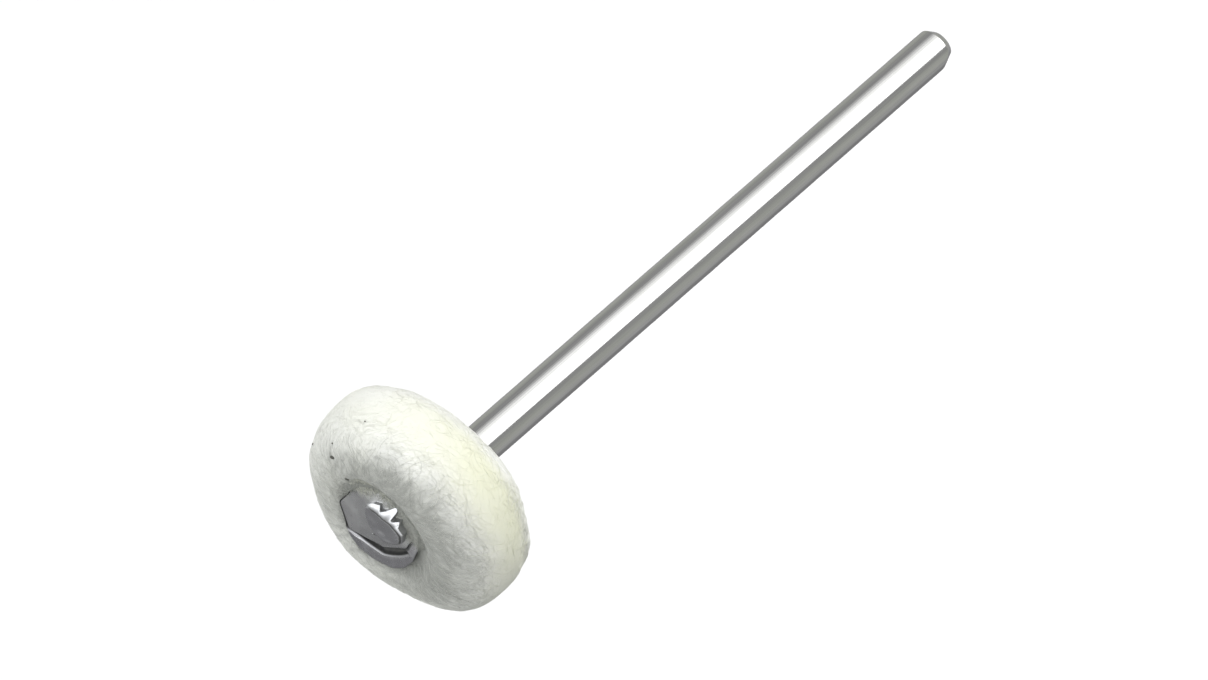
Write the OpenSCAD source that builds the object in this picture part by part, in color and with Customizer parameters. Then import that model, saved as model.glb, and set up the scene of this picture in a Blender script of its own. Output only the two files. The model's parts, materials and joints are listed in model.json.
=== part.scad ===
// Mounted felt polishing wheel: a pressed wool felt disc held on a plain
// steel shank by a riveted end, a plate, a cup washer and a rear washer.
// The spin axis lies along Y. The shank points to +Y, the riveted face to -Y.
// The origin is on the axis, in the shoulder plane where the full-diameter
// shank starts, which is the face that the rear washer is drawn against.

/* [Shank] */
// Diameter of the plain shank that a collet grips
shank_d = 2.35; // [2.2:0.05:3.2]
// Length of the full shank, from the shoulder to the tip
shank_len = 39.9; // [25:0.1:60]
// Length of the steep bevel round the tip, along the axis
tip_bevel = 0.9; // [0.4:0.05:1.5]
// How much the bevel takes off the radius
tip_cut = 0.3; // [0.1:0.05:0.6]
// Height of the shallow dome on the tip
tip_dome = 0.12; // [0.05:0.01:0.3]

/* [Riveted end] */
// Diameter of the turned-down spigot that passes through the wheel
spigot_d = 1.6; // [1.2:0.05:1.9]
// Diameter of the hammered-over end of the spigot
rivet_d = 2.6; // [2:0.05:3]
// How far the hammered end stands above its washer
rivet_h = 0.26; // [0.2:0.02:0.6]

/* [Felt wheel] */
// Outer diameter of the felt wheel
felt_d = 13.7; // [11:0.1:25]
// Greatest thickness of the felt, at the bulge round the washers
felt_w = 5.8; // [5.2:0.1:8]
// Thickness of the felt where the washers squeeze it
felt_hub_w = 4.5; // [4:0.1:4.7]
// Radius at which each side face starts to round over into the rim
felt_shoulder_r = 3.75; // [3.4:0.05:5]
// Squareness of the rim: 2 is an ellipse, more is squarer
rim_power = 2.4; // [2:0.1:4]

/* [Washers] */
// Sheet thickness of the washers
gauge = 0.25; // [0.15:0.05:0.4]
// Depth of the dish pressed into the cup washer
dish = 0.28; // [0.1:0.02:0.4]
// Mean corner radius of the eight-sided cup washer
cup_r = 2.95; // [2.85:0.05:3]
// Mean corner radius of the eight-sided plate under the riveted end
plate_r = 2.3; // [2:0.05:2.35]
// Diameter of the rear washer
rear_d = 5; // [4:0.1:6]
// Thickness of the rear washer
rear_t = 0.4; // [0.2:0.05:0.8]

/* [Hidden] */
$fn = 96;

slack = 0.05;                        // play round the spigot in each washer
felt_rear_y = -rear_t;               // rear hub face of the felt
felt_mid_y = felt_rear_y - felt_hub_w / 2;
felt_front_y = felt_rear_y - felt_hub_w;
cup_top_y = felt_front_y - gauge;    // front of the cup washer's floor
plate_top_y = cup_top_y - gauge;     // front of the plate in the dish
rivet_top_y = plate_top_y - rivet_h;

// a little unevenness in the sheared corners of the two eight-sided washers
corner_off = [0.05, -0.1, 0, 0.05, -0.05, 0.05, -0.05, 0.05];

// Everything is drawn with the spin axis on Z and laid over onto Y.
module spin() { rotate([-90, 0, 0]) children(); }

// One point of the superellipse that rounds the rim, t from 0 to 90 degrees
function rim(t) = [
    felt_shoulder_r + (felt_d / 2 - felt_shoulder_r) * pow(cos(t), 2 / rim_power),
    felt_w / 2 * pow(sin(t), 2 / rim_power)
];

// The steel shank, its shoulder, the spigot and the hammered end: one piece
module mandrel() {
    r = shank_d / 2;
    tip_r = r - tip_cut;
    color("silver") spin() rotate_extrude() polygon([
        [0, rivet_top_y],
        [rivet_d / 2 - 0.12, rivet_top_y],
        [rivet_d / 2, rivet_top_y + 0.1],
        [rivet_d / 2, plate_top_y],
        [spigot_d / 2, plate_top_y],
        [spigot_d / 2, 0],
        [r, 0],
        [r, shank_len - tip_bevel],
        [tip_r, shank_len - tip_dome],
        [tip_r * 0.85, shank_len - tip_dome * 0.4],
        [tip_r * 0.5, shank_len - tip_dome * 0.1],
        [0, shank_len]
    ]);
}

// Eight-sided outline with slightly uneven corners, its first corner at turn degrees
module eight(r, turn) {
    polygon([for (i = [0 : 7]) let (q = r + corner_off[i], a = 45 * i + turn)
        [q * cos(a), q * sin(a)]]);
}

// Flat washer between the shoulder of the shank and the back of the felt
module rear_washer() {
    color("lightgray") spin() translate([0, 0, -rear_t]) difference() {
        cylinder(d = rear_d, h = rear_t);
        translate([0, 0, -1]) cylinder(d = spigot_d + 2 * slack, h = rear_t + 2);
    }
}

// The pressed wool felt disc, pinched at the hub and round at the rim
module felt_wheel() {
    steps = 14;
    hub = felt_hub_w / 2;
    seat = hub + dish - 0.03;
    color("ivory") spin() translate([0, 0, felt_mid_y]) rotate_extrude() polygon(concat(
        [[spigot_d / 2, hub], [rear_d / 2 + 0.1, hub]],
        [for (i = [0 : steps]) rim(90 - 90 * i / steps)],
        [for (i = [1 : steps]) let (p = rim(90 * i / steps)) [p[0], -p[1]]],
        [[3.15, -seat], [2.65, -seat], [2.3, -hub], [spigot_d / 2, -hub]]
    ));
}

// Pressed washer with a dished middle and a raised eight-sided flange
module cup_washer() {
    floor_r = 2.4;
    wall_r = 2.6;
    color("gray") spin() translate([0, 0, felt_front_y]) mirror([0, 0, 1]) intersection() {
        rotate_extrude() polygon([
            [spigot_d / 2 + slack, 0],
            [floor_r, 0],
            [wall_r, dish],
            [4, dish],
            [4, dish + gauge],
            [wall_r - 0.12, dish + gauge],
            [floor_r - 0.06, gauge],
            [spigot_d / 2 + slack, gauge]
        ]);
        translate([0, 0, -1]) linear_extrude(height = 3) eight(cup_r, 20);
    }
}

// Flat eight-sided plate in the dish, which the hammered end bears on
module rivet_plate() {
    color("darkgray") spin() translate([0, 0, plate_top_y]) difference() {
        linear_extrude(height = gauge) eight(plate_r, 12);
        translate([0, 0, -1]) cylinder(d = spigot_d + 2 * slack, h = gauge + 2);
    }
}

mandrel();
rear_washer();
felt_wheel();
cup_washer();
rivet_plate();
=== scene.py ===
import json
import math

import bmesh
import bpy
import numpy as np
from mathutils import Matrix, Vector


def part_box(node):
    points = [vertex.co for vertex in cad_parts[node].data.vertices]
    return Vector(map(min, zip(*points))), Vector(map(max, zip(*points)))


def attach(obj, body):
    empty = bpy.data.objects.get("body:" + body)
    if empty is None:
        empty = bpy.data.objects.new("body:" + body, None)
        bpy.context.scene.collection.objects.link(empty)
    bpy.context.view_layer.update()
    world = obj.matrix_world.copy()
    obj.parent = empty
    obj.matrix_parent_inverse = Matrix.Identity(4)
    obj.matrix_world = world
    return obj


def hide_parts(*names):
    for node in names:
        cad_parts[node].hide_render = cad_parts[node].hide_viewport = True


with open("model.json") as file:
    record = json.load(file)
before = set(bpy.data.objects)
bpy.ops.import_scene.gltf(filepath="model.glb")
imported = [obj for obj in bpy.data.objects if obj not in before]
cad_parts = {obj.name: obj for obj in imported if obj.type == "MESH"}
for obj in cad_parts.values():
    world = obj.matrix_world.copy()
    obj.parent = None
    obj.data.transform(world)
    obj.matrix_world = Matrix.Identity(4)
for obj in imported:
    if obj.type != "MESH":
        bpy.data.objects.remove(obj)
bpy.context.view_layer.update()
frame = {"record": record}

MM = 0.001


# --------------------------------------------------------------------------
# Sizes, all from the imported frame, in millimetres
# --------------------------------------------------------------------------
def box_mm(node):
    lo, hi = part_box(node)
    return np.array(lo) * 1000, np.array(hi) * 1000


felt_lo, felt_hi = box_mm("felt_wheel")
man_lo, man_hi = box_mm("mandrel")
cup_lo, cup_hi = box_mm("cup_washer")
plate_lo, plate_hi = box_mm("rivet_plate")
rear_lo, rear_hi = box_mm("rear_washer")
shank_mount = next(m for m in frame["record"]["mounts"] if m["name"] == "shank")
SHANK_R = shank_mount["dims"]["r_mm"]
TIP_Y = man_hi[1]
FELT_R = (felt_hi[0] - felt_lo[0]) / 2
FELT_H = (felt_hi[1] - felt_lo[1]) / 2
MID_Y = (felt_hi[1] + felt_lo[1]) / 2
HUB_FRONT = MID_Y - cup_hi[1]          # felt half thickness under the cup washer
HUB_REAR = rear_lo[1] - MID_Y          # and under the rear washer

# Directions in the face of the wheel: A points at the upper near side of the
# face, B across it, Y along the shank.
TURN = math.radians(26.7)
A = np.array([math.sin(TURN), 0, math.cos(TURN)])
B = np.array([math.cos(TURN), 0, -math.sin(TURN)])
Y = np.array([0.0, 1.0, 0.0])


def place(a, b, w):
    """Points in mm from face coordinates, w measured from the felt's middle."""
    a, b, w = (np.asarray(x, float)[..., None] for x in (a, b, w))
    return a * A + b * B + (w + MID_Y) * Y


# --------------------------------------------------------------------------
# Camera, at the picture's viewing angle
# --------------------------------------------------------------------------
AZ, EL = math.radians(42.63), math.radians(53.43)
right = Vector((math.cos(AZ), math.sin(AZ), 0))
back = Vector((math.sin(AZ) * math.cos(EL), -math.cos(AZ) * math.cos(EL), math.sin(EL)))
up = back.cross(right)
aim = Vector((0, MID_Y, 0)) + right * 10.109 + up * 8.656
LENS, WIDE = 500.0, 65.72
dist = WIDE * LENS / 36
cam_data = bpy.data.cameras.new("camera")
cam = bpy.data.objects.new("camera", cam_data)
bpy.context.scene.collection.objects.link(cam)
cam_data.lens, cam_data.sensor_width = LENS, 36
cam_data.clip_start, cam_data.clip_end = 0.05, 50
m = Matrix((
    (right.x, up.x, back.x, 0),
    (right.y, up.y, back.y, 0),
    (right.z, up.z, back.z, 0),
    (0, 0, 0, 1),
))
m.translation = (aim + back * dist) * MM
cam.matrix_world = m
bpy.context.scene.camera = cam


# --------------------------------------------------------------------------
# Noise, seeded, the same on every run
# --------------------------------------------------------------------------
_perm = np.random.default_rng(11).permutation(256)
_perm = np.concatenate([_perm, _perm, _perm])
_val = np.random.default_rng(12).uniform(-1, 1, 256)


def vnoise(p, scale, off=0.0):
    """Smooth value noise from -1 to 1 at points p, with cells scale mm wide."""
    q = p / scale + off
    i = np.floor(q).astype(int)
    f = q - i
    f = f * f * f * (f * (f * 6 - 15) + 10)
    i &= 255
    out = 0.0
    for dx in (0, 1):
        wx = f[..., 0] if dx else 1 - f[..., 0]
        ix = _perm[(i[..., 0] + dx) & 255]
        for dy in (0, 1):
            wy = f[..., 1] if dy else 1 - f[..., 1]
            iy = _perm[ix + ((i[..., 1] + dy) & 255)]
            for dz in (0, 1):
                wz = f[..., 2] if dz else 1 - f[..., 2]
                out = out + wx * wy * wz * _val[_perm[iy + ((i[..., 2] + dz) & 255)]]
    return out


def smooth(x, lo, hi):
    t = np.clip((np.asarray(x, float) - lo) / (hi - lo), 0, 1)
    return t * t * (3 - 2 * t)


# --------------------------------------------------------------------------
# Mesh helpers
# --------------------------------------------------------------------------
def make(name, pts, faces, mats, replaces=(), smooth_faces=True, attrs=None):
    mesh = bpy.data.meshes.new(name)
    mesh.from_pydata([tuple(v) for v in np.asarray(pts) * MM], [], faces)
    mesh.validate()
    bm = bmesh.new()                       # every closed mesh faces outwards
    bm.from_mesh(mesh)
    inside_out = bm.calc_volume(signed=True) < 0
    bm.free()
    if inside_out:
        mesh.flip_normals()
    for k, v in (attrs or {}).items():
        at = mesh.attributes.new(k, "FLOAT", "POINT")
        at.data.foreach_set("value", np.asarray(v, np.float32))
    if smooth_faces:
        mesh.polygons.foreach_set("use_smooth", [True] * len(mesh.polygons))
    for mt in mats:
        mesh.materials.append(mt)
    mesh.update()
    ob = bpy.data.objects.new(name, mesh)
    bpy.context.scene.collection.objects.link(ob)
    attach(ob, "root")
    if replaces:
        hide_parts(*replaces)
    return ob


def grid_faces(rows, cols, wrap_rows=False, flip=False):
    """Quads of a grid whose columns wrap round."""
    i = np.arange(rows if wrap_rows else rows - 1)[:, None]
    j = np.arange(cols)[None]
    a = i * cols + j
    b = i * cols + (j + 1) % cols
    c = (i + 1) % rows * cols + (j + 1) % cols
    d = (i + 1) % rows * cols + j
    q = np.stack([a, b, c, d], -1).reshape(-1, 4)
    if flip:
        q = q[:, ::-1]
    return q.tolist()


def resample(line, n):
    """n points spaced evenly along a polyline."""
    line = np.asarray(line, float)
    t = np.concatenate([[0], np.cumsum(np.linalg.norm(np.diff(line, axis=0), axis=1))])
    at = np.linspace(0, t[-1], n)
    return np.stack([np.interp(at, t, line[:, k]) for k in range(line.shape[1])], 1)


def outline_r(corners, centre, ang, soften):
    """Radius of a polygon's edge from centre at each angle, with softened corners."""
    c = np.asarray(corners, float) - centre
    r = np.full(len(ang), np.inf)
    d = np.stack([np.cos(ang), np.sin(ang)], 1)
    for k in range(len(c)):
        p, q = c[k], c[(k + 1) % len(c)]
        e = q - p
        den = d[:, 0] * e[1] - d[:, 1] * e[0]
        den = np.where(abs(den) < 1e-9, 1e-9, den)
        t = (p[0] * e[1] - p[1] * e[0]) / den
        s = (p[0] * d[:, 1] - p[1] * d[:, 0]) / den
        ok = (t > 0) & (s >= -1e-6) & (s <= 1 + 1e-6)
        r = np.where(ok, np.minimum(r, t), r)
    k = max(1, int(soften / (2 * math.pi) * len(ang)))
    ker = np.hanning(2 * k + 3)[1:-1]
    ker /= ker.sum()
    big = np.concatenate([r[-k:], r, r[:k]])
    return np.convolve(big, ker, "valid")


# --------------------------------------------------------------------------
# Materials
# --------------------------------------------------------------------------
class Nodes:
    def __init__(self, name):
        self.mat = bpy.data.materials.new(name)
        self.mat.use_nodes = True
        self.nt = self.mat.node_tree
        self.nt.nodes.clear()
        self.out = self.nt.nodes.new("ShaderNodeOutputMaterial")
        self.bsdf = self.nt.nodes.new("ShaderNodeBsdfPrincipled")
        self.nt.links.new(self.bsdf.outputs[0], self.out.inputs[0])
        self.coord = self.nt.nodes.new("ShaderNodeTexCoord").outputs["Object"]

    def put(self, node, key, value):
        if value is None:
            return
        if isinstance(value, bpy.types.NodeSocket):
            self.nt.links.new(value, node.inputs[key])
        else:
            node.inputs[key].default_value = value

    def noise(self, scale, detail=3.0, rough=0.5, vector=None, distortion=0.0):
        n = self.nt.nodes.new("ShaderNodeTexNoise")
        self.put(n, "Vector", vector or self.coord)
        self.put(n, "Scale", scale)
        self.put(n, "Detail", detail)
        self.put(n, "Roughness", rough)
        self.put(n, "Distortion", distortion)
        return n.outputs["Fac"]

    def stretch(self, scale, turn=(0, 0, 0)):
        n = self.nt.nodes.new("ShaderNodeMapping")
        self.put(n, "Vector", self.coord)
        self.put(n, "Scale", scale)
        self.put(n, "Rotation", turn)
        return n.outputs[0]

    def ramp(self, fac, stops):
        n = self.nt.nodes.new("ShaderNodeValToRGB")
        self.put(n, "Fac", fac)
        e = n.color_ramp.elements
        while len(e) < len(stops):
            e.new(0.5)
        for k, (pos, col) in enumerate(stops):
            e[k].position = pos
            e[k].color = (*col, 1) if len(col) == 3 else col
        return n.outputs["Color"]

    def span(self, fac, lo, hi, to_lo, to_hi):
        n = self.nt.nodes.new("ShaderNodeMapRange")
        self.put(n, "Value", fac)
        self.put(n, "From Min", lo)
        self.put(n, "From Max", hi)
        self.put(n, "To Min", to_lo)
        self.put(n, "To Max", to_hi)
        return n.outputs["Result"]

    def mix(self, fac, a, b, blend="MIX"):
        n = self.nt.nodes.new("ShaderNodeMix")
        n.data_type, n.blend_type = "RGBA", blend
        for key, v in ((0, fac), (6, a), (7, b)):
            if isinstance(v, bpy.types.NodeSocket):
                self.nt.links.new(v, n.inputs[key])
            else:
                n.inputs[key].default_value = (*v, 1) if isinstance(v, tuple) else v
        return n.outputs[2]

    def math(self, op, a, b=None):
        n = self.nt.nodes.new("ShaderNodeMath")
        n.operation = op
        for k, v in enumerate((a, b)):
            if v is None:
                continue
            if isinstance(v, bpy.types.NodeSocket):
                self.nt.links.new(v, n.inputs[k])
            else:
                n.inputs[k].default_value = v
        return n.outputs[0]

    def attr(self, name):
        n = self.nt.nodes.new("ShaderNodeAttribute")
        n.attribute_name = name
        return n.outputs["Fac"]

    def bump(self, height, strength, distance, normal=None):
        n = self.nt.nodes.new("ShaderNodeBump")
        self.put(n, "Height", height)
        self.put(n, "Strength", strength)
        self.put(n, "Distance", distance)
        self.put(n, "Normal", normal)
        return n.outputs[0]


def felt_material():
    n = Nodes("wool_felt")
    big = n.noise(260, 4, 0.6)
    mid = n.noise(1400, 5, 0.65, distortion=0.8)
    fibre = n.noise(1500, 4, 0.7, n.stretch((1, 6.5, 1), (0.3, 0.2, 0.5)), 1.5)
    fibre2 = n.noise(1500, 4, 0.7, n.stretch((6.5, 1, 1.4), (0.1, 0.6, 0.2)), 1.5)
    cream = n.ramp(big, [(0.3, (0.915, 0.92, 0.865)), (0.52, (0.935, 0.94, 0.895)), (0.72, (0.94, 0.945, 0.91))])
    # warm: 1 where the wool is yellowest
    cream = n.mix(n.attr("warm"), cream, (0.88, 0.89, 0.70))
    cream = n.mix(n.span(mid, 0.4, 0.75, 0.0, 0.22), cream, (0.86, 0.87, 0.79))
    # soil and painted shade: 1 where polish has greyed the wool round the hub, and on the lower side of the rim as
    # painted shade
    grey = n.ramp(mid, [(0.3, (0.33, 0.336, 0.312)), (0.7, (0.41, 0.417, 0.39))])
    col = n.mix(n.attr("soil_and_shade"), cream, grey)
    # tone and painted shade: light and dark matted tufts, a painted shade line in the crease under the back lip, and a
    # darker patch on the front face below the hub
    col = n.mix(n.span(n.attr("tone_and_shade"), 0.0, 1.0, 0.0, 0.6), col, (0.20, 0.21, 0.19))
    n.put(n.bsdf, "Base Color", col)
    n.put(n.bsdf, "Roughness", n.span(mid, 0.3, 0.7, 0.86, 1.0))
    n.put(n.bsdf, "Specular IOR Level", 0.12)
    n.put(n.bsdf, "Sheen Weight", 0.3)
    n.put(n.bsdf, "Sheen Roughness", 0.5)
    h = n.math("ADD", n.math("MULTIPLY", fibre, 0.6), n.math("MULTIPLY", fibre2, 0.6))
    h = n.math("ADD", h, n.math("MULTIPLY", mid, 0.4))
    n.put(n.bsdf, "Normal", n.bump(h, 0.4, 0.00004))
    return n.mat


def fibre_material():
    n = Nodes("wool_fibre")
    fine = n.noise(1800, 3, 0.6)
    clean = n.mix(n.attr("warm"), (0.94, 0.945, 0.90), (0.88, 0.89, 0.72))
    col = n.mix(n.attr("soil_and_shade"), clean, (0.46, 0.467, 0.44))
    col = n.mix(n.span(fine, 0.3, 0.75, 0.0, 0.12), col, (0.62, 0.63, 0.57))
    col = n.mix(n.span(n.attr("tone_and_shade"), 0.0, 1.0, 0.0, 0.6), col, (0.24, 0.25, 0.22))
    n.put(n.bsdf, "Base Color", col)
    n.put(n.bsdf, "Roughness", n.span(fine, 0.3, 0.7, 0.75, 0.95))
    n.put(n.bsdf, "Specular IOR Level", 0.15)
    n.put(n.bsdf, "Sheen Weight", 0.2)
    n.put(n.bsdf, "Normal", n.bump(fine, 0.3, 0.00001))
    return n.mat


def shank_material():
    n = Nodes("polished_steel")
    # drawn lines along the shank, and fine turning marks round it
    along = n.noise(2600, 5, 0.7, n.stretch((1, 0.012, 1)))
    rings = n.noise(2200, 4, 0.7, n.stretch((0.04, 1, 0.04)))
    cloud = n.noise(320, 4, 0.6)
    scratch = n.noise(1500, 6, 0.75, n.stretch((1, 0.09, 0.8), (0.5, 0.1, 0.25)), 0.6)
    base = n.ramp(along, [(0.25, (0.60, 0.605, 0.595)), (0.5, (0.735, 0.735, 0.725)), (0.75, (0.80, 0.80, 0.79))])
    base = n.mix(n.span(cloud, 0.42, 0.7, 0.0, 0.25), base, (0.60, 0.605, 0.57))
    n.put(n.bsdf, "Base Color", base)
    n.put(n.bsdf, "Metallic", 1.0)
    rough = n.math("ADD", n.span(along, 0.3, 0.7, 0.05, 0.11), n.span(cloud, 0.4, 0.75, 0.0, 0.07))
    n.put(n.bsdf, "Roughness", rough)
    b1 = n.bump(along, 0.22, 0.000004)
    b2 = n.bump(rings, 0.10, 0.000003, b1)
    n.put(n.bsdf, "Normal", n.bump(scratch, 0.10, 0.000004, b2))
    return n.mat


def plate_material(name, light, dark, rough_lo, rough_hi, dents):
    n = Nodes(name)
    cloud = n.noise(500, 5, 0.65, distortion=0.6)
    grain = n.noise(2600, 5, 0.7, n.stretch((1, 1, 0.2), (0.2, 0.9, 0.4)))
    pits = n.noise(4200, 3, 0.6)
    base = n.ramp(cloud, [(0.3, dark), (0.55, tuple((np.array(light) + np.array(dark)) / 2)), (0.75, light)])
    base = n.mix(n.span(grain, 0.35, 0.7, 0.0, 0.35), base, tuple(np.array(dark) * 0.85))
    # painted shade: 1 where the metal is painted dark and dulled, in the groove for its shadow and along the edges for
    # a dark outline without highlights
    painted_shade = n.attr("painted_shade")
    base = n.mix(painted_shade, base, n.ramp(pits, [(0.35, (0.045, 0.045, 0.047)), (0.7, (0.085, 0.085, 0.08))]))
    n.put(n.bsdf, "Base Color", base)
    n.put(n.bsdf, "Metallic", n.span(painted_shade, 0.0, 1.0, 1.0, 0.3))
    rough = n.math("ADD", n.span(cloud, 0.3, 0.75, rough_lo, rough_hi), n.span(pits, 0.5, 0.8, 0.0, 0.12))
    rough = n.math("ADD", rough, n.math("MULTIPLY", painted_shade, 0.35))
    n.put(n.bsdf, "Roughness", rough)
    b1 = n.bump(grain, 0.25, 0.000008)
    n.put(n.bsdf, "Normal", n.bump(cloud, dents, 0.00004, b1))
    return n.mat


FELT, FIBRE, STEEL = felt_material(), fibre_material(), shank_material()
CUP = plate_material("washer_steel", (0.66, 0.655, 0.68), (0.48, 0.48, 0.50), 0.18, 0.32, 0.25)
PLATE = plate_material("plate_steel", (0.74, 0.745, 0.745), (0.58, 0.585, 0.59), 0.20, 0.34, 0.30)
RIVET = plate_material("rivet_steel", (0.70, 0.705, 0.72), (0.58, 0.585, 0.60), 0.16, 0.27, 0.28)


# --------------------------------------------------------------------------
# Felt wheel
# --------------------------------------------------------------------------
R0, POWER = 3.75, 2.4
FELT_R -= 0.12                           # room for the loose wool outside the disc
BORE = 0.85


def half_width(r, front):
    """Half thickness of the bare disc at radius r, with the pinch round the hub."""
    x = np.clip((r - R0) / (FELT_R - R0), 0, 1)
    base = FELT_H * np.power(1 - np.power(x, POWER), 1 / POWER)
    hub = HUB_FRONT if front else HUB_REAR
    edge = 2.55 if front else 2.45
    return base - (FELT_H - hub) * (1 - smooth(r, edge, edge + 1.5)) ** 1.3


def felt_line():
    """The section, from the rear bore over the rear face, round the rim and over the front."""
    pts = []
    for r in np.linspace(BORE, R0, 40):
        pts.append((r, half_width(r, False)))
    for t in np.linspace(90, 0, 60)[1:]:
        t = math.radians(t)
        r = R0 + (FELT_R - R0) * math.cos(t) ** (2 / POWER)
        pts.append((r, float(half_width(r, False)) if t > 0.5 else FELT_H * math.sin(t) ** (2 / POWER)))
    back_half = list(pts)
    front = []
    for t in np.linspace(0, 90, 60)[1:]:
        t = math.radians(t)
        r = R0 + (FELT_R - R0) * math.cos(t) ** (2 / POWER)
        front.append((r, -(float(half_width(r, True)) if t > 0.5 else FELT_H * math.sin(t) ** (2 / POWER))))
    for r in np.linspace(R0, BORE, 40)[1:]:
        front.append((r, -half_width(r, True)))
    return np.array(back_half + front, float)


NS, NP = 172, 560
sec = resample(felt_line(), NS)
ang = np.arange(NP) / NP * 2 * math.pi
sec_s = np.concatenate([[0], np.cumsum(np.linalg.norm(np.diff(sec, axis=0), axis=1))])

r_ = sec[:, 0][:, None] * np.ones(NP)
w_ = sec[:, 1][:, None] * np.ones(NP)
a_, b_ = r_ * np.cos(ang), r_ * np.sin(ang)
outer = smooth(r_, 2.8, 5.0)


def grid_normals(P):
    """Normals of the felt grid; its columns wrap round."""
    ds = np.gradient(P, axis=0)
    dp = (np.roll(P, -1, 1) - np.roll(P, 1, 1)) / 2
    nrm = np.cross(ds, dp)
    nrm /= np.maximum(np.linalg.norm(nrm, axis=2, keepdims=True), 1e-12)
    return nrm


# the disc isn't quite round
swell = 1 + 0.006 * np.sin(ang * 2 + 0.6) + 0.005 * np.sin(ang * 3 + 2.2) + 0.003 * np.sin(ang * 5 + 1.0)
a_, b_ = a_ * (1 + (swell - 1) * outer), b_ * (1 + (swell - 1) * outer)
P = place(a_, b_, w_)
N = grid_normals(P)
if (N[NS // 2, 0] * (P[NS // 2, 0] - place(0, 0, 0))).sum() < 0:
    N = -N

front = smooth(-w_, 0.6, 2.4)            # 1 on the front face
face = smooth(6.7 - r_, 0.0, 0.9) * front

# matting: streaks along the lie of the wool
radial = np.cos(ang)[None, :, None] * A + np.sin(ang)[None, :, None] * B
around = -np.sin(ang)[None, :, None] * A + np.cos(ang)[None, :, None] * B
radial, around = radial * np.ones((NS, 1, 1)), around * np.ones((NS, 1, 1))
lie = vnoise(P, 2.6, 3.1) * 1.3 + 0.5
lie = lie * face + (1.35 + 0.5 * vnoise(P, 1.8, 9.3)) * (1 - face)
way = radial * np.cos(lie)[..., None] + around * np.sin(lie)[..., None]
way -= N * (way * N).sum(2, keepdims=True)
way /= np.maximum(np.linalg.norm(way, axis=2, keepdims=True), 1e-9)


def streaks(cell, length, off):
    out = 0.0
    steps = np.linspace(-1, 1, 11)
    for t in steps:
        bend = way + around * (0.25 * t * vnoise(P, 1.5, 5.5))[..., None]
        out = out + vnoise(P + bend * (t * length), cell, off)
    return out / math.sqrt(len(steps)) * 1.1


st1 = streaks(0.20, 0.9, 21.3)
st2 = streaks(0.12, 0.5, 41.7)
lump = 0.060 * vnoise(P, 3.2, 1.7) + 0.030 * vnoise(P, 1.3, 2.9)
mat = 0.016 * st1 + 0.009 * st2 + 0.008 * vnoise(P, 0.24, 13.1)
rim_calm = 0.12 + 0.88 * front
fade = smooth(r_, 1.2, 2.6)
disp = (lump * outer + mat * rim_calm) * fade


def lobe(at_deg, width):
    gap = (deg - at_deg + 180) % 360 - 180
    return np.exp(-((gap / width) ** 2))


def belt(at_w, width):
    return np.exp(-(((w_ - at_w) / width) ** 2))


# hand-trimmed unevenness of the outline
deg = np.degrees(ang)[None] * np.ones((NS, 1))
disp = disp + outer * (
    0.17 * lobe(-95, 26) * belt(1.3, 1.4) + 0.17 * lobe(20, 26) * belt(2.2, 1.0) + 0.17 * lobe(-160, 26) * belt(-2.3, 1.3)
    - 0.19 * lobe(128, 26) * belt(-2.3, 1.3) + 0.08 * lobe(86, 26)
)

# the loose whitish lip along the back edge on one side
side = smooth(deg, 8, 34) * (1 - smooth(deg, 78, 104))
lip_line = np.exp(-(((w_ - 2.05) / 0.34) ** 2)) * smooth(r_, 4.6, 5.6)
ragged = 0.75 + 0.35 * vnoise(P, 0.55, 31.0) + 0.25 * vnoise(P, 0.2, 37.0)
lip = side * lip_line * np.clip(ragged, 0, 1.3)
groove = side * np.exp(-(((w_ - 1.45) / 0.22) ** 2)) * smooth(r_, 4.6, 5.6)
disp = disp + 0.17 * lip - 0.05 * groove
P = P + N * disp[..., None]
N = grid_normals(P)
if (N[NS // 2, 0] * (P[NS // 2, 0] - place(0, 0, 0))).sum() < 0:
    N = -N

# polish soils the wool round the hub, further out towards the lower near side
reach = 5.05 + 0.52 * lobe(88, 38) + 0.88 * lobe(20, 42) - 0.30 * lobe(180, 60) + 0.35 * vnoise(P, 1.6, 61.0)
soil_and_shade = smooth(reach + 1.15 - r_, 0.0, 1.9) * smooth(-w_, 0.5, 1.9)
soil_and_shade = soil_and_shade * (1 - 0.50 * lobe(175, 65) * smooth(r_, 3.0, 4.0)) * (1 - 0.48 * lobe(-100, 38))
soil_and_shade = soil_and_shade + (0.30 * st1 + 0.12 * st2) * smooth(r_, 2.8, 4.2) * (1 - smooth(r_, 5.6, 6.5)) * front
# painted shade: the lower side of the rim is darkened through the same grey as the polish
shade = lobe(85, 36) * smooth(r_, 5.0, 6.2) * (1 - smooth(w_, 0.6, 2.4))
soil_and_shade = np.clip(soil_and_shade + 0.12 * shade, 0, 1)
tone_and_shade = np.clip(0.10 - 0.16 * st1 - 0.10 * st2, 0, 1) * (0.12 + 0.88 * front)
# painted shade: a dark line in the crease under the loose lip at the back
tone_and_shade = np.clip(tone_and_shade + 0.30 * side * np.exp(-(((w_ - 1.72) / 0.10) ** 2)) * smooth(r_, 4.6, 5.6), 0, 1)
# darker on the front face below the hub
tone_and_shade = np.clip(tone_and_shade + 0.36 * lobe(86, 28) * np.exp(-(((r_ - 3.5) / 0.8) ** 2)) * front, 0, 1)
warm = np.clip(lobe(25, 60) * smooth(w_, -2.2, 0.6) * (1 - smooth(w_, 1.2, 2.1)) + 0.15 * vnoise(P, 1.9, 67.0), 0, 1)

felt = make(
    "felt_wheel_wool", P.reshape(-1, 3), grid_faces(NS, NP, wrap_rows=True), [FELT],
    ["felt_wheel"], attrs={"soil_and_shade": soil_and_shade.ravel(), "tone_and_shade": tone_and_shade.ravel(), "warm": warm.ravel()},
)


# --------------------------------------------------------------------------
# Loose wool on the felt: single fibres laid along its surface
# --------------------------------------------------------------------------
sec_r = sec[:, 0]


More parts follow.
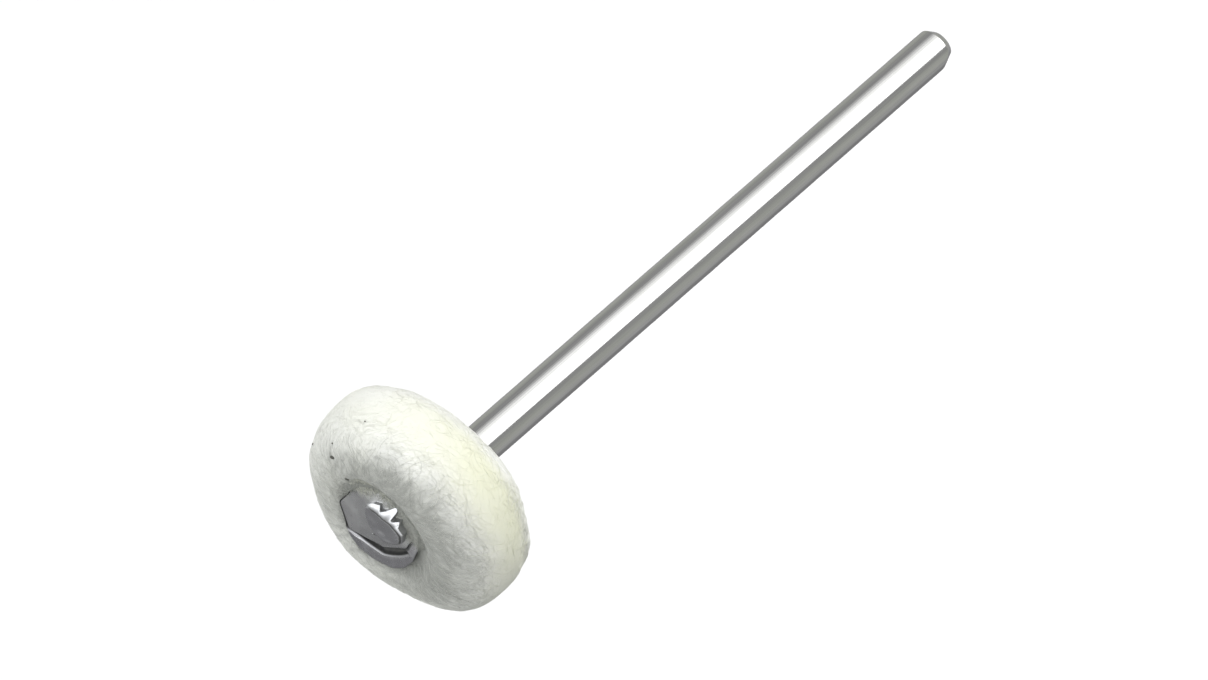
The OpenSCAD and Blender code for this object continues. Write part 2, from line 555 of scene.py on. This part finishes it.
def at(grid, s, phi):
    """The felt grid's value at places along the section (mm) and round it."""
    i = np.clip(np.interp(s, sec_s, np.arange(NS)), 0, NS - 1.001)
    j = (phi / (2 * math.pi) * NP) % NP
    i0, j0 = i.astype(int), j.astype(int)
    fi, fj = (i - i0), (j - j0)
    j1 = (j0 + 1) % NP
    j0 = j0 % NP
    if grid.ndim == 3:
        fi, fj = fi[:, None], fj[:, None]
    return (
        grid[i0, j0] * (1 - fi) * (1 - fj) + grid[i0 + 1, j0] * fi * (1 - fj)
        + grid[i0, j1] * (1 - fi) * fj + grid[i0 + 1, j1] * fi * fj
    )


def s_of(r, is_front):
    """The place along the section at radius r on one face."""
    half = NS // 2
    if is_front:
        return np.interp(-np.asarray(r), -sec_r[half:], sec_s[half:])
    return np.interp(r, sec_r[:half], sec_s[:half])


def wool(name, n, s_lo, s_hi, phi_lo, phi_hi, length, thick, lift, stray, seed, ends=0.0, points=7, spread=0.6):
    rng = np.random.default_rng(seed)
    s = rng.uniform(s_lo, s_hi, n)
    # as many fibres for each square millimetre, wherever it lies
    keep = rng.uniform(0, FELT_R, n) < np.interp(s, sec_s, sec_r)
    s = s[keep]
    n = len(s)
    phi = rng.uniform(phi_lo, phi_hi, n)
    L = length * rng.uniform(0.45, 1.4, n)
    th = thick * rng.uniform(0.6, 1.35, n)
    li = lift * rng.gamma(1.6, 0.6, n)
    # heading from the lie of the wool there
    base = at(lie, s, phi)
    head = base + rng.normal(0, spread, n) + math.pi * rng.integers(0, 2, n)
    curl = rng.normal(0, stray, n)
    raise_end = ends * rng.gamma(1.2, 0.7, n)
    sgn = np.where(s > sec_s[NS // 2], -1.0, 1.0)
    path, nor = [], []
    for k in range(points):
        t = k / (points - 1)
        p, nn = at(P, s, phi), at(N, s, phi)
        nn /= np.linalg.norm(nn, axis=1, keepdims=True)
        h = 0.002 + li * math.sin(math.pi * t) + raise_end * max(0.0, t - 0.35) ** 1.5
        path.append(p + nn * h[:, None])
        nor.append(nn)
        step = L / (points - 1)
        rr = np.maximum(np.interp(s, sec_s, sec_r), 0.9)
        s = np.clip(s + sgn * np.cos(head) * step, sec_s[0] + 1.9, sec_s[-1] - 1.9)
        phi = phi + np.sin(head) * step / rr
        head = head + curl + rng.normal(0, stray * 0.8, n)
    path, nor = np.stack(path, 1), np.stack(nor, 1)
    tan = np.gradient(path, axis=1)
    tan /= np.maximum(np.linalg.norm(tan, axis=2, keepdims=True), 1e-9)
    nor -= tan * (nor * tan).sum(2, keepdims=True)
    nor /= np.maximum(np.linalg.norm(nor, axis=2, keepdims=True), 1e-9)
    bi = np.cross(tan, nor)
    taper = np.interp(np.linspace(0, 1, points), [0, 0.18, 0.75, 1], [0.25, 1, 0.9, 0.12])
    rad = th[:, None] * taper[None]
    ring = []
    for c in range(3):
        an = 2 * math.pi * c / 3
        ring.append(path + (nor * math.cos(an) + bi * math.sin(an)) * rad[..., None])
    V = np.stack(ring, 2)                                  # n, points, 3, xyz
    idx = np.arange(n * points * 3).reshape(n, points, 3)
    quads = []
    for c in range(3):
        d = (c + 1) % 3
        quads.append(np.stack([idx[:, :-1, c], idx[:, 1:, c], idx[:, 1:, d], idx[:, :-1, d]], -1).reshape(-1, 4))
    faces = np.concatenate(quads).tolist()
    faces += idx[:, 0, :].tolist() + idx[:, -1, ::-1].tolist()
    # the fibres take the felt's grey there, painted shade included
    s0 = at(soil_and_shade, np.clip(s, sec_s[0], sec_s[-1]), phi)
    soil_and_shade_v = np.repeat(np.clip(s0 * rng.uniform(0.5, 1.0, n), 0, 1), points * 3)
    t0 = at(tone_and_shade, np.clip(s, sec_s[0], sec_s[-1]), phi)
    tone_and_shade_v = np.repeat(np.clip(t0 + rng.normal(0.0, 0.05, n), 0, 1), points * 3)
    warm_v = np.repeat(at(warm, np.clip(s, sec_s[0], sec_s[-1]), phi), points * 3)
    return make(name, V.reshape(-1, 3), faces, [FIBRE], attrs={"soil_and_shade": soil_and_shade_v, "tone_and_shade": tone_and_shade_v, "warm": warm_v})


S_REAR, S_FRONT = s_of(4.2, False), s_of(4.2, True)
S_RIM_A, S_RIM_B = s_of(6.5, False), s_of(6.5, True)
wool("wool_front", 5400, S_RIM_B - 0.6, s_of(2.75, True), 0, 2 * math.pi, 1.3, 0.008, 0.008, 0.16, 101)
wool("wool_rim", 5200, S_RIM_A - 0.9, S_RIM_B + 0.9, 0, 2 * math.pi, 0.7, 0.0045, 0.001, 0.14, 102)
wool("wool_back", 3600, s_of(2.9, False), S_RIM_A + 0.3, 0, 2 * math.pi, 1.2, 0.009, 0.014, 0.22, 103)
wool("wool_stray", 300, s_of(3.2, False), s_of(3.2, True), 0, 2 * math.pi, 0.8, 0.007, 0.02, 0.35, 104, ends=0.16)


# --------------------------------------------------------------------------
# Mandrel: shank, shoulder, spigot and the hammered end, one mesh
# --------------------------------------------------------------------------
NM = 240
ma = np.arange(NM) / NM * 2 * math.pi
tip_r, END_W = 0.80, TIP_Y - MID_Y - 0.05
shank_line = [(0.8, 0.0), (0.8, 0.02), (1.02, 0.03), (SHANK_R - 0.06, 0.03), (SHANK_R - 0.02, 0.06), (SHANK_R, 0.12)]
for yy in np.linspace(0.4, TIP_Y - 1.35, 90):
    shank_line.append((SHANK_R + 0.0022 * math.sin(yy * 1.7) + 0.0012 * math.sin(yy * 4.1 + 1), yy))
shank_line = np.array(shank_line)

# hammered end: uneven corners, in face coordinates (a, b)
riv_c = np.array([0.28, -0.22])
riv = [(0.62, -1.62), (0.98, -1.05), (1.12, -0.55), (1.42, 0.05), (1.40, 0.92), (0.80, 1.22), (0.05, 1.02),
       (-0.68, 0.55), (-0.88, -0.10), (-0.62, -0.85), (0.0, -1.38)]
riv_r = outline_r(riv, riv_c, ma, 0.16)
jag = np.random.default_rng(5).normal(0, 1, NM)
jag = np.convolve(np.concatenate([jag[-2:], jag, jag[:2]]), [0.15, 0.25, 0.3, 0.25, 0.15], "valid")
near = smooth(np.cos(ma - 0.15), 0.1, 0.8)
riv_top = riv_r * (1 + 0.014 * jag * (0.3 + near))

PLANE_W, PLANE_K = -2.76, 0.12


def plane_w(a):
    """The front plane of the two front washers, which sit a little askew."""
    return PLANE_W + PLANE_K * a + 0.30 * smooth(a, 0.4, 2.3)


RIVET_W = -2.97
rings_a, rings_b, rings_w = [], [], []


def riv_ring(scale, w, r=None):
    r = riv_top if r is None else r
    rings_a.append(riv_c[0] * min(1, scale * 1.2) + scale * r * np.cos(ma))
    rings_b.append(riv_c[1] * min(1, scale * 1.2) + scale * r * np.sin(ma))
    rings_w.append(np.broadcast_to(w, (NM,)).astype(float))


for sc in (0.03, 0.14, 0.26, 0.38, 0.5, 0.6, 0.7, 0.78, 0.85, 0.9):
    dent = 0.018 * vnoise(place(sc * riv_top * np.cos(ma), sc * riv_top * np.sin(ma), 0 * ma), 0.55, 71.0)
    riv_ring(sc, RIVET_W + dent + 0.035 * (1 - sc) ** 2)
riv_ring(0.955, RIVET_W + 0.010 + 0.006 * jag)
riv_ring(0.985, RIVET_W + 0.026 + 0.006 * jag)
riv_ring(1.0, RIVET_W + 0.055)
# torn teeth along its near side, where the metal spread over the plate
teeth = [(0.70, -1.64), (1.14, -1.42), (1.47, -1.04), (1.16, -0.86), (1.50, -0.62), (2.08, -0.44), (1.98, -0.22), (1.46, -0.12),
         (1.50, 0.02), (1.82, 0.28), (1.54, 0.48), (1.47, 0.94), (0.82, 1.25), (0.05, 1.05), (-0.70, 0.57), (-0.90, -0.10),
         (-0.64, -0.87), (0.0, -1.40)]
skirt = np.maximum(outline_r(teeth, riv_c, ma, 0.05), riv_top + 0.015)
base_w = plane_w(riv_c[0] + skirt * np.cos(ma)) + 0.02
base_w = np.maximum(base_w, RIVET_W + 0.1)
spread = (skirt - riv_top) * np.maximum(np.cos(ma), 0.3)
sheet_w = np.minimum(RIVET_W + 0.055 + 0.74 * spread + 0.02, base_w - 0.01)
riv_ring(1.0, (RIVET_W + 0.055) * 0.5 + sheet_w * 0.5, riv_top * 0.5 + skirt * 0.5)
riv_ring(1.0, sheet_w, skirt)
riv_ring(1.0, base_w, skirt + 0.006)
riv_ring(0.86, base_w + 0.05, skirt)
sp = np.full(NM, 0.8)
for w in (-2.62, -2.4, -1.0, 1.0, -MID_Y - 0.05):
    rings_a.append(0.8 * np.cos(ma)); rings_b.append(0.8 * np.sin(ma)); rings_w.append(np.full(NM, w))
mp = [place(x, y, z) for x, y, z in zip(rings_a, rings_b, rings_w)]
for rr, yy in shank_line:
    mp.append(place(rr * np.cos(ma), rr * np.sin(ma), np.full(NM, yy - MID_Y)))
# the tip: a short bevel, ground longer on one side, and a rounded end
md = np.degrees(ma)
start_w = END_W - 0.41 - 0.56 * smooth(md, 18, 88) * (1 - smooth(md, 120, 240))
for t, drop in ((-0.16, 0.0), (-0.07, 0.001), (0.0, 0.006), (0.06, 0.026), (0.15, 0.058), (0.32, 0.120), (0.5, 0.188), (0.68, 0.255), (0.85, 0.318), (0.94, 0.350)):
    rr = SHANK_R - drop
    mp.append(place(rr * np.cos(ma), rr * np.sin(ma), start_w + (END_W - start_w) * t))
for rr, up_w in ((tip_r, 0.0), (tip_r - 0.02, 0.02), (tip_r - 0.05, 0.036), (tip_r - 0.10, 0.046), (0.6, 0.05), (0.45, 0.05), (0.3, 0.05), (0.15, 0.05)):
    mp.append(place(rr * np.cos(ma), rr * np.sin(ma), np.full(NM, END_W + up_w)))
mp = np.array(mp)
pts = mp.reshape(-1, 3)
faces = grid_faces(len(mp), NM)
n0 = len(pts)
pts = np.concatenate([pts, mp[0].mean(0, keepdims=True), mp[-1].mean(0, keepdims=True)])
last = (len(mp) - 1) * NM
faces += [[n0, (j + 1) % NM, j] for j in range(NM)]
faces += [[n0 + 1, last + j, last + (j + 1) % NM] for j in range(NM)]
n_riv = 17
# painted shade on the hammered end: dark along its far foot, in the valleys between its teeth, in a line along its
# near top edge and under its base
m_painted_shade = np.zeros(len(pts))
for k in range(n_riv):
    edge = {11: 0.25, 12: 0.6, 13: 0.7, 14: 0.7, 15: 0.7, 16: 0.7}.get(k, 0.0)
    valley = 1 - smooth(skirt - riv_top, 0.10, 0.28)
    foot = {12: 0.1, 13: 0.2, 14: 0.28, 15: 0.35, 16: 0.4}.get(k, 0.0)
    # clean marks the near side, which is shaded only in the valleys, along the top edge and under the base
    clean = smooth(np.cos(ma - 0.05), 0.05, 0.45)
    line = {9: 0.35, 10: 1.0, 11: 1.0, 12: 0.75}.get(k, 0.0)
    edge = edge * (1 - 0.85 * smooth(np.sin(ma), 0.1, 0.6) * (k > 11))
    m_painted_shade[k * NM:(k + 1) * NM] = edge * (1 - clean) + clean * np.maximum(np.maximum(foot * valley, line), 0.5 * (k >= 15))
mandrel = make("mandrel_steel", pts, faces, [STEEL, RIVET], ["mandrel"], attrs={"painted_shade": m_painted_shade})
for k, poly in enumerate(mandrel.data.polygons):
    if max(poly.vertices) < n_riv * NM or n0 in poly.vertices:
        poly.material_index = 1
        if min(v for v in poly.vertices) >= 12 * NM:
            poly.use_smooth = False


# --------------------------------------------------------------------------
# Front washers
# --------------------------------------------------------------------------
NW = 240
wa = np.arange(NW) / NW * 2 * math.pi


def lofted(name, contours, mats, replaces, painted_shade=None):
    """Rings of points (a, b, w), closed at the first and last by the hole's wall."""
    g = np.array([place(a, b, w) for a, b, w in contours])
    shade_map = np.zeros((len(g), NW))
    for k, v in (painted_shade or {}).items():
        shade_map[k] = v
    return make(name, g.reshape(-1, 3), grid_faces(len(g), NW, wrap_rows=True), mats, replaces, attrs={"painted_shade": shade_map.ravel()})


def ring(centre, r, h, scale=1.0):
    """A contour on the washers' plane; h is how far in front of it, minus is deeper."""
    a = centre[0] + scale * r * np.cos(wa)
    b = centre[1] + scale * r * np.sin(wa)
    return a, b, plane_w(a) - h


def hole(r, h):
    return r * np.cos(wa), r * np.sin(wa), plane_w(r * np.cos(wa)) - h


# eight-sided plate under the hammered end
pc = np.array([-0.05, -0.45])
plate = [(0.86, -2.72), (-1.53, -2.70), (-2.63, -1.28), (-1.22, 0.72), (0.42, 1.62), (1.75, 1.35), (2.25, -0.2), (2.05, -1.75)]
pr = outline_r(plate, pc, wa, 0.10)
uneven = 0.012 * vnoise(place(pr * np.cos(wa), pr * np.sin(wa), 0 * wa), 0.7, 81.0)
dome = 0.07
C = [hole(0.80, 0.055), hole(0.815, 0.055)]
for sc in (0.55, 0.60, 0.66, 0.74, 0.81, 0.87, 0.92, 0.955):
    wob = 0.014 * vnoise(place(sc * pr * np.cos(wa), sc * pr * np.sin(wa), 0 * wa), 0.8, 83.0)
    C.append(ring(pc, pr, dome * (1 - sc ** 2) + wob, sc))
C += [ring(pc, pr, 0.0 + uneven, 0.978), ring(pc, pr, -0.018 + uneven, 0.992), ring(pc, pr, -0.05, 1.0),
      ring(pc, pr, -0.17, 1.0), ring(pc, pr, -0.20, 0.985), ring(pc, pr, -0.21, 0.7), hole(0.84, -0.21)]
# painted shade: the plate's edge rings are dark all round, a dark outline with no highlight
lofted("rivet_plate_steel", C, [PLATE], ["rivet_plate"],
       {10: 0.15, 11: 0.65, 12: 1.0, 13: 1.0, 14: 1.0, 15: 1.0, 16: 1.0})

# cup washer: dished floor, wall up to a rounded crest, eight-sided flange
cc = np.array([-0.25, 0.1])
near_plate = outline_r(plate, cc, wa, 0.10)
wd = np.degrees(wa)
# width of the groove between the plate and the cup's wall, by direction
gap_w = np.interp(wd, [0, 69, 75, 90, 110, 130, 150, 162, 174, 187, 200, 208, 214, 221, 360],
                  [0.02, 0.02, 0.46, 0.52, 0.53, 0.54, 0.55, 0.51, 0.47, 0.42, 0.31, 0.20, 0.10, 0.02, 0.02])
rim = [(0.95, -2.72), (-1.53, -2.74), (-2.75, -1.35), (-3.08, -1.02), (-3.24, -0.12), (-2.86, 0.86), (-2.04, 1.91), (-1.16, 2.33),
       (-0.09, 2.38), (1.20, 2.05), (1.85, 1.60), (2.20, 0.90), (2.28, -0.20), (2.08, -1.74)]
cr = near_plate + gap_w
lip_open = smooth(wd, 70, 82) * (1 - smooth(wd, 205, 216))
rr_ = np.maximum(outline_r(rim, cc, wa, 0.09), cr + 0.05 + 0.12 * lip_open)
wob = 0.012 * vnoise(place(cr * np.cos(wa), cr * np.sin(wa), 0 * wa), 0.9, 91.0)
glint = np.exp(-(((wd - 202) / 10) ** 2))         # the lip is broader at one corner, with less painted shade there so that its highlight shows brightest
C = [hole(0.84, -0.36), ring(cc, cr, -0.36, 0.45), ring(cc, cr, -0.36, 0.80), ring(cc, cr - 0.10, -0.34),
     ring(cc, cr - 0.05, -0.29), ring(cc, cr - 0.025, -0.18), ring(cc, cr - 0.010, -0.085 - 0.03 * glint),
     ring(cc, np.minimum(cr + 0.018 + 0.06 * glint, cr * 0.7 + rr_ * 0.3), -0.040 + wob),
     ring(cc, np.minimum(cr + 0.065 + 0.08 * glint, cr * 0.5 + rr_ * 0.5), -0.004 + wob), ring(cc, np.minimum(cr + 0.13, cr * 0.4 + rr_ * 0.6), 0.012 + wob)]
for t in (0.25, 0.5, 0.75, 0.92):
    C.append(ring(cc, np.minimum(cr + 0.13, cr * 0.4 + rr_ * 0.6) * (1 - t) + rr_ * t, 0.012 - 0.05 * t + wob * (1 - t)))
C += [ring(cc, rr_, -0.06), ring(cc, rr_ + 0.012, -0.10), ring(cc, rr_ + 0.012, -0.20), ring(cc, rr_ - 0.02, -0.25),
      ring(cc, rr_ - 0.15, -0.26), ring(cc, cr + 0.12, -0.28), ring(cc, cr * 0.98, -0.58), ring(cc, cr, -0.62, 0.8),
      ring(cc, cr, -0.62, 0.45), hole(0.84, -0.62)]
# painted shade: dark down in the groove, where the plate lies over it, and along the flange's outer edge; less along
# the groove's outer lip, so that its highlight shows
cup_shade = {k: 1.0 for k in range(0, 7)}
# painted shade on the crest of the lip, heavier on one side and none at the bright corner
crest_shade = (0.15 + 0.35 * (1 - smooth(wd, 125, 185))) * (1 - glint)
cup_shade.update({7: 1 - (0.50 + 0.4 * glint) * lip_open, 8: 1 - (1 - crest_shade) * lip_open, 9: 0.9 * (1 - lip_open), 13: 0.25, 14: 0.7, 15: 0.95, 16: 1.0, 17: 1.0})
lofted("cup_washer_steel", C, [CUP], ["cup_washer"], cup_shade)

# loose wool caught over the washers' near edge
def over_wool(name, line, n, depth, seed, soil_lo, soil_hi, thick, along=False, points=6):
    rng = np.random.default_rng(seed)
    line = np.array(line, float)
    run = np.concatenate([[0], np.cumsum(np.linalg.norm(np.diff(line[:, :2], axis=0), axis=1))])
    u = rng.uniform(0, run[-1], n)
    a, b, thickly = (np.interp(u, run, line[:, k]) for k in range(3))
    keep = rng.uniform(0, 1, n) < thickly
    a, b, u = a[keep], b[keep], u[keep]
    n = len(a)
    inward = np.arctan2(-0.45 - b, -0.05 - a)
    shift = np.minimum(rng.exponential(depth, n), depth * 3) - (0.04 if along else 0.16)
    lean = math.pi / 2 + rng.normal(0, 0.22, n) if along else rng.normal(0, 0.75, n)
    head = inward + lean + math.pi * rng.integers(0, 2, n)
    L = rng.uniform(0.4, 1.1, n) * (0.7 if along else 1.0)
    a, b = a + shift * np.cos(inward), b + shift * np.sin(inward)
    a, b = a - np.cos(head) * L * 0.5, b - np.sin(head) * L * 0.5
    curl = rng.normal(0, 0.22, n)
    lift = (0.035 if along else 0.012) + 0.045 * rng.random(n)
    path = []
    for k in range(points):
        t = k / (points - 1)
        r = np.hypot(a, b)
        face_w = -half_width(np.clip(r, 0.9, 6.0), True) - 0.02
        inner = np.clip(np.hypot(a + 0.05, b + 0.45) / 2.2, 0, 1)
        metal_w = plane_w(a) - 0.07 * (1 - inner ** 2) - 0.016
        path.append(place(a, b, np.minimum(face_w, metal_w) - lift * math.sin(math.pi * t)))
        a, b = a + np.cos(head) * L / (points - 1), b + np.sin(head) * L / (points - 1)
        head = head + curl + rng.normal(0, 0.16, n)
    path = np.stack(path, 1)
    tan = np.gradient(path, axis=1)
    tan /= np.maximum(np.linalg.norm(tan, axis=2, keepdims=True), 1e-9)
    nor = -Y[None, None] - tan * (tan * -Y).sum(2, keepdims=True)
    nor /= np.maximum(np.linalg.norm(nor, axis=2, keepdims=True), 1e-9)
    bi = np.cross(tan, nor)
    th = thick * rng.uniform(0.6, 1.3, n)
    rad = th[:, None] * np.interp(np.linspace(0, 1, points), [0, 0.2, 0.75, 1], [0.2, 1, 0.9, 0.12])[None]
    V = np.stack([path + (nor * math.cos(q) + bi * math.sin(q)) * rad[..., None] for q in (0, 2 * math.pi / 3, 4 * math.pi / 3)], 2)
    idx = np.arange(n * points * 3).reshape(n, points, 3)
    quads = [np.stack([idx[:, :-1, c], idx[:, 1:, c], idx[:, 1:, (c + 1) % 3], idx[:, :-1, (c + 1) % 3]], -1).reshape(-1, 4) for c in range(3)]
    faces = np.concatenate(quads).tolist() + idx[:, 0, :].tolist() + idx[:, -1, ::-1].tolist()
    soil_and_shade_v = np.repeat(rng.uniform(soil_lo, soil_hi, n), points * 3)
    # fibres laid along the edge are dark: they paint the shadow between the washers and the felt
    tone_and_shade_v = np.repeat(rng.uniform(0.7, 1.0, n) if along else rng.uniform(0.0, 0.35, n), points * 3)
    warm_v = np.full(n * points * 3, 0.6)
    return make(name, V.reshape(-1, 3), faces, [FIBRE], attrs={"soil_and_shade": soil_and_shade_v, "tone_and_shade": tone_and_shade_v, "warm": warm_v})


over_wool("wool_caught_right", [(2.40, -0.75, 0.3), (2.38, -0.2, 0.9), (2.35, 0.8, 1.0), (1.95, 1.5, 1.0), (1.35, 1.95, 0.5)], 1900, 0.28, 111, 0.8, 1.0, 0.009)
over_wool("wool_caught_left", [(0.6, -2.8, 0.3), (1.2, -2.7, 0.9), (2.1, -1.9, 1.0), (2.35, -1.2, 0.9), (2.4, -0.6, 0.4)], 760, 0.20, 112, 0.25, 0.65, 0.008)
# painted shadow: dark fibres along the washers' near edge, for the contact shadow on the felt
over_wool("wool_edge_painted_shadow", [(-1.0, -2.80, 0.2), (0.6, -2.82, 0.8), (1.10, -2.70, 1.0), (2.10, -1.78, 1.0), (2.32, -0.9, 0.8), (2.32, 0.3, 0.4),
                               (2.24, 0.9, 0.7), (1.95, 1.55, 1.0), (1.25, 2.05, 0.7)], 1000, 0.035, 113, 0.98, 1.0, 0.013, along=True)


# rear washer, pressed against the shoulder
rr0, y0, y1 = (rear_hi[0] - rear_lo[0]) / 2, rear_lo[1], rear_hi[1]


def flat(r, y):
    rr2 = r * (1 + 0.002 * np.sin(wa * 3 + 1))
    return rr2 * np.cos(wa), rr2 * np.sin(wa), np.full(NW, y - MID_Y)


C = [flat(0.84, y0), flat(0.84, y1 - 0.02), flat(0.9, y1), flat(1.3, y1 - 0.004), flat(1.7, y1), flat(2.1, y1 - 0.006),
     flat(rr0 - 0.12, y1 - 0.004), flat(rr0 - 0.04, y1 - 0.02), flat(rr0 - 0.01, y1 - 0.05), flat(rr0, y1 - 0.10),
     flat(rr0, y0 + 0.06), flat(rr0 - 0.03, y0 + 0.01), flat(rr0 - 0.1, y0), flat(1.6, y0)]
lofted("rear_washer_steel", C[::-1], [CUP], ["rear_washer"])


# --------------------------------------------------------------------------
# Specks of grit caught in the wool
# --------------------------------------------------------------------------
def grit_material():
    n = Nodes("grit")
    c = n.noise(3000, 3, 0.6)
    n.put(n.bsdf, "Base Color", n.ramp(c, [(0.3, (0.05, 0.05, 0.045)), (0.7, (0.16, 0.16, 0.13))]))
    n.put(n.bsdf, "Roughness", n.span(c, 0.3, 0.7, 0.6, 0.9))
    n.put(n.bsdf, "Normal", n.bump(c, 0.4, 0.00002))
    return n.mat


def specks(name, places, seed):
    rng = np.random.default_rng(seed)
    V, F = [], []
    for r, d, size in places:
        s = np.array([float(s_of(r, True))])
        ph = np.array([math.radians(d) % (2 * math.pi)])
        p, nn = at(P, s, ph)[0], at(N, s, ph)[0]
        nn /= np.linalg.norm(nn)
        p = p + nn * 0.025
        u = np.cross(nn, Y); u /= np.linalg.norm(u)
        v = np.cross(nn, u)
        base = len(V)
        k, rows = 9, 5
        V.append(p + nn * size * 0.45)
        for i in range(1, rows):
            el = math.pi * i / rows
            for j in range(k):
                t = 2 * math.pi * j / k
                q = size * rng.uniform(0.75, 1.2)
                V.append(p + (u * math.cos(t) * 1.3 + v * math.sin(t) * 0.8) * math.sin(el) * q + nn * math.cos(el) * q * 0.45)
        V.append(p - nn * size * 0.45)
        for j in range(k):
            F.append([base, base + 1 + j, base + 1 + (j + 1) % k])
            for i in range(rows - 2):
                a0 = base + 1 + i * k
                F.append([a0 + j, a0 + k + j, a0 + k + (j + 1) % k, a0 + (j + 1) % k])
            z = base + 1 + (rows - 2) * k
            F.append([len(V) - 1, z + (j + 1) % k, z + j])
    return make(name, V, F, [grit_material()])


specks("grit_specks", [(4.94, -77, 0.13), (3.44, -79, 0.13), (6.16, -102, 0.07), (5.63, -73, 0.06), (6.55, -51, 0.05)], 9)


# --------------------------------------------------------------------------
# Studio: pale floor, broad soft lights, even grey surroundings
# --------------------------------------------------------------------------
floor_mesh = bpy.data.meshes.new("floor")
fz = -0.16
floor_mesh.from_pydata([(-3, -3, fz), (3, -3, fz), (3, 3, fz), (-3, 3, fz)], [], [[0, 1, 2, 3]])
floor = bpy.data.objects.new("floor", floor_mesh)
bpy.context.scene.collection.objects.link(floor)
fm = Nodes("floor_white")
fm.put(fm.bsdf, "Base Color", (0.97, 0.97, 0.97, 1))
fm.put(fm.bsdf, "Roughness", 1.0)
fm.put(fm.bsdf, "Specular IOR Level", 0.0)
floor_mesh.materials.append(fm.mat)
floor.visible_glossy = False
floor.visible_diffuse = False

world = bpy.data.worlds.new("studio")
bpy.context.scene.world = world
world.use_nodes = True
wt = world.node_tree
bg = wt.nodes["Background"]
# grey surroundings, a little darker at the horizon and straight below
way_n = wt.nodes.new("ShaderNodeTexCoord")
xyz = wt.nodes.new("ShaderNodeSeparateXYZ")
wt.links.new(way_n.outputs["Generated"], xyz.inputs[0])
rng_n = wt.nodes.new("ShaderNodeMapRange")
wt.links.new(xyz.outputs["Z"], rng_n.inputs["Value"])
rng_n.inputs["From Min"].default_value, rng_n.inputs["From Max"].default_value = -1.0, 1.0
sky = wt.nodes.new("ShaderNodeValToRGB")
wt.links.new(rng_n.outputs["Result"], sky.inputs["Fac"])
stops = [(-1.0, (0.20, 0.20, 0.205)), (-0.80, (0.25, 0.25, 0.255)), (-0.64, (0.38, 0.38, 0.385)), (-0.35, (0.42, 0.425, 0.405)),
         (-0.10, (0.42, 0.43, 0.40)), (0.12, (0.37, 0.375, 0.36)), (0.45, (0.31, 0.31, 0.315)), (1.0, (0.38, 0.38, 0.38))]
e = sky.color_ramp.elements
while len(e) < len(stops):
    e.new(0.5)
for k, (z, col) in enumerate(stops):
    e[k].position = (z + 1) / 2
    e[k].color = (*col, 1)
wt.links.new(sky.outputs["Color"], bg.inputs[0])
bg.inputs[1].default_value = 1.0


def softbox(name, centre, size_x, size_y, strength, target, color=(1, 1, 1)):
    d = bpy.data.lights.new(name, "AREA")
    d.shape, d.size, d.size_y = "RECTANGLE", size_x, size_y
    d.energy = strength * math.pi * size_x * size_y    # so that its radiance is strength
    d.color = color
    o = bpy.data.objects.new(name, d)
    bpy.context.scene.collection.objects.link(o)
    o.location = centre
    z = (Vector(centre) - Vector(target)).normalized()
    x = Vector((1, 0, 0))
    y = z.cross(x).normalized()
    x = y.cross(z).normalized()
    o.matrix_world = Matrix((
        (x.x, y.x, z.x, centre[0]), (x.y, y.y, z.y, centre[1]), (x.z, y.z, z.z, centre[2]), (0, 0, 0, 1),
    ))
    return o


# one long box overhead, whose light falls off in steps towards -X
H = 0.60
Y_LO, Y_HI = -0.36 * H, 2.35 * H
YC, YS = (Y_LO + Y_HI) / 2, Y_HI - Y_LO


def tan_of(d):
    return math.tan(math.radians(d))


def overhead(name, a0, a1, strength):
    x0, x1 = tan_of(a0) * H, tan_of(a1) * H
    softbox(name, ((x0 + x1) / 2, YC, H), x1 - x0, YS, strength, ((x0 + x1) / 2, YC, 0))


overhead("soft_top", -3, 55.5, 1.60)
overhead("soft_fall_1", -12, -3, 1.10)
overhead("soft_fall_2", -24, -12, 0.85)
overhead("soft_fall_3", -36, -24, 0.52)
overhead("soft_fall_4", -47, -36, 0.20)

# a broad soft light in front of the wheel's face, from the upper left
softbox("soft_front", (-0.30, -0.80, 0.29), 1.50, 1.10, 1.42, (0, 0, 0), (0.97, 0.985, 1.0))

# a wall light beyond the tip, which the tip's bevel picks up
softbox("soft_end", (0.25, 1.45, 0.50), 0.90, 0.40, 1.6, (0.25, 0, 0.50))

bpy.context.scene.view_settings.view_transform = "Standard"
bpy.context.scene.view_settings.look = "None"
